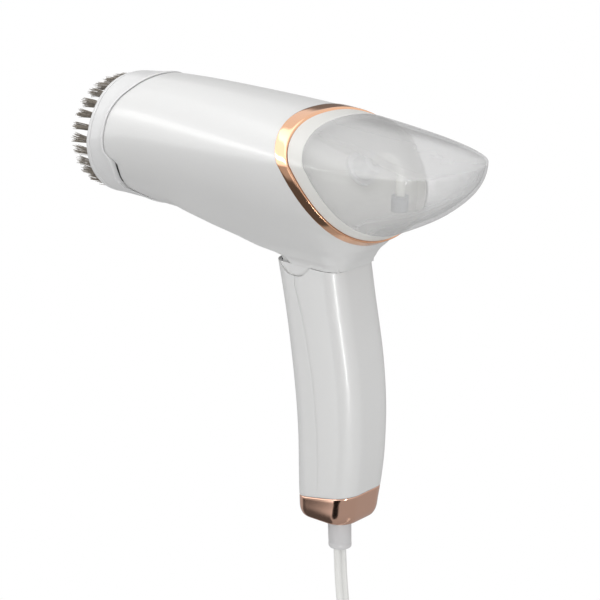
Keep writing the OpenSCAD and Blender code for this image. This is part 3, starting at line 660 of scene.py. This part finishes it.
gold = stitch("gold_band", [joint_loop(d, i) for d, i in dense(rounded(
    [(0.15, 2.8), (0.15, -0.7), (6.2, -0.7), (6.2, 2.8)], 0.55, 5), 1.2)], ring=True)
place(gold, "head", "gold", "gold_ring", "gold_ring")


def toward(loop, target, t):
    return loop * (1 - t) + target * t


# the collar: a rim and a floor with a round hole for the valve
floor_out, floor_in = joint_loop(9.0, WALL + 0.2), joint_loop(6.5, 0.5)
rim = rounded([(6.5, 0.5), (6.5, 0.2), (13.9, 0.2), (13.9, 2.4), (9.0, 2.6)], 0.35, 4, closed=False)
loops = [joint_loop(d, i) for d, i in dense(rim, 1.2, closed=False)]
loops += [toward(floor_out, joint_circle(9.0, 5.1), t) for t in np.linspace(0.08, 1, 12)]
loops += [toward(floor_in, joint_circle(6.5, 5.1), t) for t in np.linspace(1, 0.08, 12)]
collar = stitch("collar", loops, ring=True)
place(collar, "tank", "cream", "tank_collar", "tank_collar")


def tank_loops(d, inset, x_end):
    x0 = joint_x(d, inset)
    s = np.concatenate([np.linspace(0, 0.75, 40), 1 - 0.25 * (np.linspace(1, 0, 36)[1:] ** 1.6)])
    out = [head_point(x0 + (x_end - x0) * t, TH, inset) for t in s]
    tip = out[-1].mean(0)
    for t in (0.8, 0.55, 0.3):
        loop = tip + (out[len(s) - 1] - tip) * t
        loop[:, 0] += 0.5 * (1 - t)
        out.append(loop)
    return out


outer = tank_loops(14.2, 0.0, NOSE_X)
inner = tank_loops(14.2, 2.2, 221.5)
shell_loops = outer[::-1] + [joint_loop(14.2, 0.3), joint_loop(14.2, 1.9)] + inner
tank = stitch("tank_skin", shell_loops, smooth=38)
place(tank, "tank", "tank", "tank_shell", "tank_shell")

# ---------------------------------------------------------------- brush ring

loops = [x_circle(x, r) for x, r in ((5.6, 31.4), (5.6, 28.0), (1.0, 28.0), (0.3, 28.6))]
loops += [toward(x_circle(0.0, 29.2), x_loop(0.0, 1.0), t) for t in (0.0, 0.5, 1.0)]
# rolled lip and the groove behind it: station, depth under the head's skin
loops += [x_loop(x, i) for x, i in ((0.1, 0.45), (0.5, 0.1), (1.2, -0.1), (2.2, -0.1), (3.1, 0.0),
                                    (3.5, 0.12), (3.7, 0.5), (4.0, 0.5), (4.2, 0.1), (4.6, 0.0))]
start = x_loop(4.6, 0.0)[:, 0]
end = seam_loop(-0.35, 0.0)[:, 0]
for t in np.linspace(0.1, 1, 22):
    proud = 0.55 * np.clip((t - 0.55) / 0.35, 0, 1) ** 2
    loops.append(head_point(start + (end - start) * t, TH, -proud))
loops += [seam_loop(-0.12, -0.38), seam_loop(0.0, -0.05), seam_loop(0.0, 0.6), seam_loop(0.0, 2.2)]
inner_end = seam_loop(0.0, 2.4)[:, 0]
loops += [toward(head_point(inner_end + (5.6 - inner_end) * t, TH, 2.4), x_circle(5.6, 31.4), t)
          for t in (0.15, 0.4, 0.7, 0.95)]
brush = stitch("brush_ring", loops, ring=True)
place(brush, "brush", "white", "brush_frame", "brush_frame")

TUFTS, HAIRS, TUFT_RING, HAIR = 28, 56, 30.6, 13.3
rng = random.Random(7)
verts, faces = [], []
for i in range(TUFTS):
    a = i * 2 * math.pi / TUFTS
    radial = np.array([0, -math.sin(a), math.cos(a)])
    tangent = np.array([0, -math.cos(a), -math.sin(a)])
    root = np.array([0.9, 0, 0.7]) + radial * TUFT_RING
    for _ in range(HAIRS):
        q, t = 1.25 * math.sqrt(rng.random()), rng.random() * 2 * math.pi
        u, v = q * math.cos(t), q * math.sin(t)
        length = HAIR + rng.uniform(-1.9, 1.3)
        spread = 1.0 + rng.uniform(0.5, 1.3)
        bend = np.array([rng.uniform(-0.5, 0.5), rng.uniform(-0.5, 0.5)])
        start = root + radial * u + tangent * v
        lean = 0.2 - (2.7 if math.cos(a) > 0 else 1.3) * math.cos(a) ** 2
        tip = (root + np.array([-length - 0.9, 0, 0]) + radial * (u * spread + lean + bend[0])
               + tangent * (v * spread + bend[1]))
        middle = (start + tip) / 2 + radial * rng.uniform(-0.25, 0.25) + tangent * rng.uniform(-0.25, 0.25)
        base = len(verts)
        for centre, r in ((start, 0.17), (middle, 0.16), (tip, 0.10)):
            for j in range(4):
                b = j * math.pi / 2
                verts.append(centre + r * (math.cos(b) * radial + math.sin(b) * tangent))
        for s in range(2):
            for j in range(4):
                k = (j + 1) % 4
                low, high = base + s * 4, base + s * 4 + 4
                faces.append((low + j, low + k, high + k, high + j))
        faces += [(base + 3, base + 2, base + 1, base), (base + 8, base + 9, base + 10, base + 11)]
tuft = mesh_object("bristles", verts, faces)
place(tuft, "brush", "bristle", "brush_tufts", "brush_tufts")

# ---------------------------------------------------------------- handle

TILT = math.tan(math.radians(11))                               # slope of the end cap's upper edge


def cap_z(x, d):
    """Level of the end cap's upper edge at x, moved up by d."""
    return -173.6 + d + TILT * (x - 134)


def grip_curve(z, inset, half):
    """Half of the grip's outline at each point's own level z, from one parting edge to the other."""
    n1, n2, n3 = 8, 14, 6
    sx = 1 if half == "front" else -1
    f = G_F if half == "front" else G_R
    zs = np.split(z, np.cumsum([n1, n2, n3, n2])[:4])
    out = []
    for part, seg in enumerate(zs):
        c = G_C(seg)
        cx, cy, r = f(seg) + sx * c, G_W(seg) - c, c - inset
        px = PART_X(seg) - sx * (0.005 + 0.11 * np.clip((seg + 84) / 22, 0, 1))
        if part in (0, 4):
            t = np.linspace(0, 1, n1)
            t = t if part == 0 else t[::-1]
            x = px + (cx - px) * t
            y = (-1 if part == 0 else 1) * (cy + r)
        elif part in (1, 3):
            a = np.linspace(0, np.pi / 2, n2 + 2)[1:-1]
            a = a if part == 1 else a[::-1]
            x = cx - sx * r * np.sin(a)
            y = (-1 if part == 1 else 1) * (cy + r * np.cos(a))
        else:
            t = np.linspace(-1, 1, n3)
            x = cx - sx * r
            y = cy * t
        out.append(np.stack([x + 0 * seg, y * full_side(x, seg), seg], -1))
    return np.concatenate(out)


def grip_half(name, half):
    count = 8 + 14 + 6 + 14 + 8
    loops = []
    for s in np.linspace(0, 1, 90):
        rows = []
        for inset in (0.0, 2.2):
            z = np.full(count, TOP_Z)
            for _ in range(4):
                x = grip_curve(z, inset, half)[:, 0]
                z = TOP_Z + (cap_z(x, 0.2) - TOP_Z) * s
            c = grip_curve(z, inset, half)
            rows.append(c if inset == 0 else c[::-1])
        loops.append(np.concatenate(rows))
    n = 2 * count
    verts = np.concatenate(loops)
    faces = [(j * n + i, j * n + (i + 1) % n, (j + 1) * n + (i + 1) % n, (j + 1) * n + i)
             for j in range(len(loops) - 1) for i in range(n)]
    for base in (0, (len(loops) - 1) * n):
        faces += [(base + i, base + i + 1, base + n - 2 - i, base + n - 1 - i) for i in range(count - 1)]
    o = mesh_object(name, verts, faces)
    b = o.modifiers.new("edge", "BEVEL")
    b.width, b.segments, b.limit_method, b.angle_limit = 0.07 * MM, 2, "ANGLE", math.radians(60)
    applied(o)
    return o


def rod(r, p0, p1, n=48):
    """A round cutter from p0 to p1."""
    p0, p1 = np.array(p0, float), np.array(p1, float)
    d = np.linalg.norm(p1 - p0)
    return lathe("rod", [(0, 0), (0, r), (d, r), (d, 0)], p0, p1 - p0, n, ring=False)


front_shell = grip_half("handle_front", "front")
rear_shell = grip_half("handle_rear", "rear")
for shell in (front_shell, rear_shell):
    for y in (-1, 1):
        cut(shell, rod(11.95, PIVOT + [0, y * 11, 0], PIVOT + [0, y * 20, 0], 96))
    cut(shell, rod(14.9, PIVOT - [0, 11.4, 0], PIVOT + [0, 11.4, 0], 96))
# openings for the trigger, the power button, the lamp and the screws
slot_outline = plan_loop(0, 24.2, 7.2, 2.0, 0, 0, 6)
slot_loops = [np.stack([np.full(len(slot_outline), x), slot_outline[:, 1], -75.0 - slot_outline[:, 0]], -1)
              for x in (112, 133)]
cut(front_shell, stitch("c", slot_loops))
cut(front_shell, rod(6.6, (120, 0, -111.5), (140, 0, -111.5)))
cut(front_shell, rod(1.9, (120, 0, -121.6), (140, 0, -121.6)))
for z in (-134, -160):
    cut(front_shell, rod(3.1, (120, 0, z), (140, 0, z)))
for shell, name in ((front_shell, "handle_front_shell"), (rear_shell, "handle_rear_shell")):
    shade(shell, 30)
    place(shell, "handle", "pearl", name, name)


def full_loop(z, inset):
    """The whole grip outline with each point at its own level."""
    out = []
    zs = np.split(z, 4)
    for k, (f, sx, sy) in enumerate(((G_R, 1, 1), (G_F, -1, 1), (G_F, -1, -1), (G_R, 1, -1))):
        seg = zs[k]
        c = G_C(seg)
        a = np.radians(k * 90 + np.linspace(0, 90, len(seg)))
        x = f(seg) - sx * c + (c - inset) * np.cos(a)
        y = sy * (G_W(seg) - c) + (c - inset) * np.sin(a)
        out.append(np.stack([x, y * full_side(x, seg), seg], -1))
    return np.concatenate(out)


def cap_loop(s, inset, d=-0.15):
    z = np.full(80, -176.0)
    for _ in range(5):
        top = cap_z(full_loop(z, inset)[:, 0], d)
        z = top + (CAP_Z - top) * s
    return full_loop(z, inset)


def hole_loop(r, z):
    a = np.radians(np.concatenate([k * 90 + np.linspace(0, 90, 20) for k in range(4)]))
    return np.stack([CORD_X + r * np.cos(a), r * np.sin(a), np.full(80, float(z))], -1)


low = cap_loop(1.0, 0)
loops = [cap_loop(s, i) for s, i in ((0.02, 2.2), (0.0, 2.0), (0.0, 0.35), (0.02, 0.08))]
loops += [cap_loop(s, 0) for s in np.concatenate([np.linspace(0.05, 0.6, 8), np.linspace(0.65, 1, 14)])]
for t in np.linspace(0.12, 1, 9):
    ring = toward(low, hole_loop(5.2, -185.9), t)
    ring[:, 2] = CAP_Z - 0.7 * math.sin(t * math.pi / 2)
    loops.append(ring)
loops += [hole_loop(5.2, z) for z in (-185.4, -183.2)]
inner_low = cap_loop(0.85, 2.2)
loops += [toward(hole_loop(5.2, -183.0), inner_low, t) for t in (0.3, 0.7)]
loops += [cap_loop(s, 2.2) for s in (0.8, 0.5, 0.2)]
cap = stitch("end_cap_skin", loops, ring=True)
place(cap, "handle", "cap", "end_cap", "end_cap")

# ---------------------------------------------------------------- cord, sleeve and plug

profile = [(-203, 4.4), (-203, 5.9), (-202.6, 6.2), (-201.0, 6.25), (-200.7, 6.05), (-200.3, 6.05),
           (-200, 6.2), (-186.2, 6.4), (-185.7, 6.3), (-185.6, 4.6), (-180.8, 4.6), (-180.6, 6.3),
           (-178.4, 6.3), (-178.2, 6.0), (-178.2, 1.7), (-195, 1.7), (-195, 4.4)]
sleeve = lathe("cord_sleeve", profile, (CORD_X, 0, 0), (0, 0, 1), 64)
p = points_of(sleeve)
p[:, 0] += 0.055 * np.clip(-186 - p[:, 2], 0, None)             # it hangs a little to the rear
set_points(sleeve, p)
place(sleeve, "cord_set", "sleeve", "strain_relief", "strain_relief")

# the cord hangs down, then turns to the rear into the plug
BEND = 45.0
path = []
for t in np.linspace(0, 1, 24):
    path.append(np.array([CORD_X + 0.5 + 1.2 * t + 2.4 * t * t, 0, -195.2 - 41.4 * t]))
for a in np.linspace(0, 90, 30)[1:]:
    r = math.radians(a)
    x = CORD_X + BEND - BEND * math.cos(r) + 4.1 * math.cos(r) ** 2
    path.append(np.array([x, 0, PLUG_Z + BEND - BEND * math.sin(r)]))
for x in np.linspace(200, 220, 8):
    path.append(np.array([x, 0, PLUG_Z]))
path = np.array(path)
tan = np.gradient(path, axis=0)
tan /= np.linalg.norm(tan, axis=1, keepdims=True)
# outline of the cord: two cores side by side with a valley between them
section = []
for j in range(64):
    a = 2 * math.pi * j / 64
    y, u = math.cos(a), math.sin(a)
    waist = 1 - 0.42 * math.exp(-(y / 0.26) ** 2)
    section.append((4.25 * np.sign(y) * abs(y) ** 0.8, 2.15 * np.sign(u) * abs(u) ** 0.75 * waist))
loops = []
for q, t in zip(path, tan):
    n = np.cross(t, [0, 1, 0])
    loops.append(np.array([q + np.array([0, y, 0]) + n * u for y, u in section]))
cable = stitch("cable", loops, smooth=60)
place(cable, "cord_set", "cord", "cord", "cord")

# a ribbed neck that flares into the round plug face
plug_profile = [(0, 4.3), (0, 5.6), (0.5, 6.0)]
for i in range(5):
    x, r = 1.6 + i * 2.1, 0.25 * i
    plug_profile += [(x, 6.1 + r), (x + 0.3, 5.2 + r), (x + 1.1, 5.2 + r), (x + 1.4, 6.2 + r)]
plug_profile += [(13, 7.7), (15.5, 8.4), (18, 9.5), (21, 12.2), (24, 15), (26.4, 17), (28.6, 18.1),
                 (31, 18.4), (40.4, 18.4), (41.6, 18.0), (42, 17.2), (42, 0.01), (4, 0.01), (4, 4.2)]
plug = lathe("plug_skin", plug_profile, (215, 0, PLUG_Z), (1, 0, 0), 96)
for s in (-1, 1):
    cut(plug, rod(2.45, (215 + 30, s * 9.5, PLUG_Z), (215 + 50, s * 9.5, PLUG_Z)))
    cut(plug, block("c", (247, -2.6, PLUG_Z + s * 18 - 1.5), (263, 2.6, PLUG_Z + s * 18 + 1.5)))
shade(plug, 35)
place(plug, "cord_set", "cord", "plug_body", "plug_body")

# ---------------------------------------------------------------- CAD nodes that stay

KEPT = {
    "steam_plate": "plate", "plate_gasket": "silicone", "plate_holder": "dark", "plate_screws": "steel",
    "steam_duct": "orange", "boiler_body": "alloy", "boiler_gasket": "silicone", "boiler_cover": "alloy",
    "cover_screws": "steel", "heating_element": "steel", "thermostat": "ceramic", "thermal_fuse": "ceramic",
    "pump_body": "dark", "pump_coil": "copper", "pump_piston": "steel", "pump_spring": "spring",
    "inlet_tube": "hose", "rear_bulkhead": "cream", "water_socket": "dark", "socket_seal": "rubber",
    "suction_hose": "hose", "tank_valve_body": "white", "tank_valve_stem": "blue",
    "tank_valve_spring": "spring", "valve_cage": "white", "intake_tube": "hose", "intake_filter": "mesh",
    "hinge_yoke": "pearl", "fold_pins": "steel", "fold_knuckle": "dark",
    "shell_screws": "steel", "trigger": "pearl", "trigger_spring": "spring", "microswitch": "dark",
    "switch_plunger": "red", "power_button": "cap", "power_switch": "dark", "indicator_lens": "lens",
    "circuit_board": "board", "relay": "blue", "swivel_socket": "dark", "plug_pins": "brass",
    "earth_clips": "brass"}
for node, mat in KEPT.items():
    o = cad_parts[node]
    o.data.materials.clear()
    o.data.materials.append(M[mat])

# ---------------------------------------------------------------- stage, light and camera

scene = bpy.context.scene
scene.view_settings.view_transform = "Standard"
scene.view_settings.look = "None"

floor_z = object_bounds()[0].z - 0.0015
me = bpy.data.meshes.new("floor")
me.from_pydata([(-3, -3, floor_z), (3, -3, floor_z), (3, 3, floor_z), (-3, 3, floor_z)], [], [(0, 1, 2, 3)])
floor = link(bpy.data.objects.new("floor", me))
fmat, nt, nodes, bsdf = shader("floor_paper")
bsdf.inputs["Base Color"].default_value = (0.55, 0.55, 0.55, 1)
bsdf.inputs["Roughness"].default_value = 0.8
rays = add(nt, "ShaderNodeLightPath")
glow = add(nt, "ShaderNodeEmission", {"Color": (1, 1, 1, 1), "Strength": 1.0})
both = add(nt, "ShaderNodeMixShader")
nt.links.new(rays.outputs["Is Camera Ray"], both.inputs[0])
nt.links.new(bsdf.outputs[0], both.inputs[1])
nt.links.new(glow.outputs[0], both.inputs[2])
nt.links.new(both.outputs[0], nodes["Material Output"].inputs["Surface"])
me.materials.append(fmat)
floor.visible_glossy = False

world = bpy.data.worlds.new("studio")
scene.world = world
world.use_nodes = True
nt = world.node_tree
nt.nodes.clear()
where = add(nt, "ShaderNodeTexCoord")
split = add(nt, "ShaderNodeSeparateXYZ")
nt.links.new(where.outputs["Generated"], split.inputs[0])
height = add(nt, "ShaderNodeMapRange", {"From Min": -1.0, "From Max": 1.0})
nt.links.new(split.outputs["Z"], height.inputs["Value"])


def by_height(*stops):
    """Grey level of the room by height: pairs of position and level."""
    ramp = add(nt, "ShaderNodeValToRGB")
    for i, (at, level) in enumerate(stops):
        e = ramp.color_ramp.elements[i] if i < 2 else ramp.color_ramp.elements.new(at)
        e.position, e.color = at, (level, level, level, 1)
    nt.links.new(height.outputs["Result"], ramp.inputs["Fac"])
    return ramp.outputs["Color"]


def panel(under, way, inner, outer, level):
    """A round card or panel of the given level in the room, seen in the given direction."""
    way = Vector(way).normalized()
    dot = add(nt, "ShaderNodeVectorMath", operation="DOT_PRODUCT")
    nt.links.new(where.outputs["Generated"], dot.inputs[0])
    dot.inputs[1].default_value = way
    share = add(nt, "ShaderNodeMapRange", {"From Min": math.cos(math.radians(outer)),
                                           "From Max": math.cos(math.radians(inner))})
    nt.links.new(dot.outputs["Value"], share.inputs["Value"])
    mix = add(nt, "ShaderNodeMix", data_type="RGBA")
    mix.inputs[7].default_value = (level, level, level, 1)
    nt.links.new(share.outputs["Result"], mix.inputs[0])
    nt.links.new(under, mix.inputs[6])
    return mix.outputs[2]


room = by_height((0.25, 0.52), (1.0, 1.0), (0.60, 0.62))
# what the glossy pieces mirror: direction of each card, angles of its soft edge, and its level
CARDS = [
    ((-0.6, -0.45, 0.55), 36, 50, 1.7),             # big bright panel over the near side
    ((-0.60, 0.77, 0.20), 9, 14, 0.20),             # dim patch at the top of the gold ring
    ((-0.60, -0.39, -0.70), 21.5, 25, 0.10),        # dark card under the ring's near side
    ((-0.447, -0.841, -0.305), 6, 9, 1.8),          # bright stripe on the end cap
    ((0.0, -0.952, -0.305), 21.5, 23, 0.008)]       # black band beside it
mirrored = by_height((0.0, 0.40), (1.0, 0.95), (0.40, 0.50), (0.52, 0.62), (0.70, 0.95))
for card in CARDS:
    mirrored = panel(mirrored, *card)
rays = add(nt, "ShaderNodeLightPath")


def background(colour, level):
    """The room as light of the given colour output, or plain white."""
    b = add(nt, "ShaderNodeBackground", {"Strength": level})
    if colour:
        nt.links.new(colour, b.inputs["Color"])
    else:
        b.inputs["Color"].default_value = (1, 1, 1, 1)
    return b.outputs[0]


def either(ray, a, b):
    """b for this kind of ray, a for the rest."""
    m = add(nt, "ShaderNodeMixShader")
    nt.links.new(rays.outputs[ray], m.inputs[0])
    nt.links.new(a, m.inputs[1])
    nt.links.new(b, m.inputs[2])
    return m.outputs[0]


seen_as = either("Is Glossy Ray", background(room, 0.95), background(mirrored, 1.0))
seen_as = either("Is Camera Ray", seen_as, background(None, 1.0))
nt.links.new(seen_as, add(nt, "ShaderNodeOutputWorld").inputs["Surface"])


def softbox(name, place_at, aim, size, power):
    """A rectangular light, hidden from the camera."""
    light = bpy.data.lights.new(name, "AREA")
    light.shape, light.size, light.size_y, light.energy = "RECTANGLE", size[0], size[1], power
    o = link(bpy.data.objects.new(name, light))
    o.location = place_at
    o.rotation_mode = "QUATERNION"
    o.rotation_quaternion = (Vector(aim) - Vector(place_at)).to_track_quat("-Z", "Y")
    o.visible_camera = False


softbox("top_box", (0.05, 0.10, 1.1), (0.1, 0, 0), (1.4, 1.2), 5.3)
softbox("crease_box", (-0.62, -0.80, 0.60), (0.08, -0.04, 0.01), (1.0, 0.2), 2.8)
softbox("ridge_box", (0.72, -0.53, -0.07), (0.15, -0.02, -0.12), (0.08, 0.42), 1.9)

# the camera: azimuth, elevation, distance and roll, looking at the target
AZ, EL, DIST, ROLL = math.radians(38.93), math.radians(17.739), 1.19157, math.radians(1.088)
TARGET = Vector((0.090, 0.03953, -0.08699))
back = Vector((math.sin(AZ) * math.cos(EL), -math.cos(AZ) * math.cos(EL), math.sin(EL)))
right = Vector((math.cos(AZ), math.sin(AZ), 0))
up = back.cross(right)
r2 = right * math.cos(ROLL) + up * math.sin(ROLL)
u2 = up * math.cos(ROLL) - right * math.sin(ROLL)
cam_data = bpy.data.cameras.new("camera")
cam_data.sensor_width = 36.0
cam_data.lens = 1.8042 * DIST * 1000 * 36.0 / 600
camera = link(bpy.data.objects.new("camera", cam_data))
turn = Matrix((r2, u2, back)).transposed().to_4x4()
camera.matrix_world = Matrix.Translation(TARGET + back * DIST) @ turn
cam_data.clip_start, cam_data.clip_end = 0.01, 50
scene.camera = camera
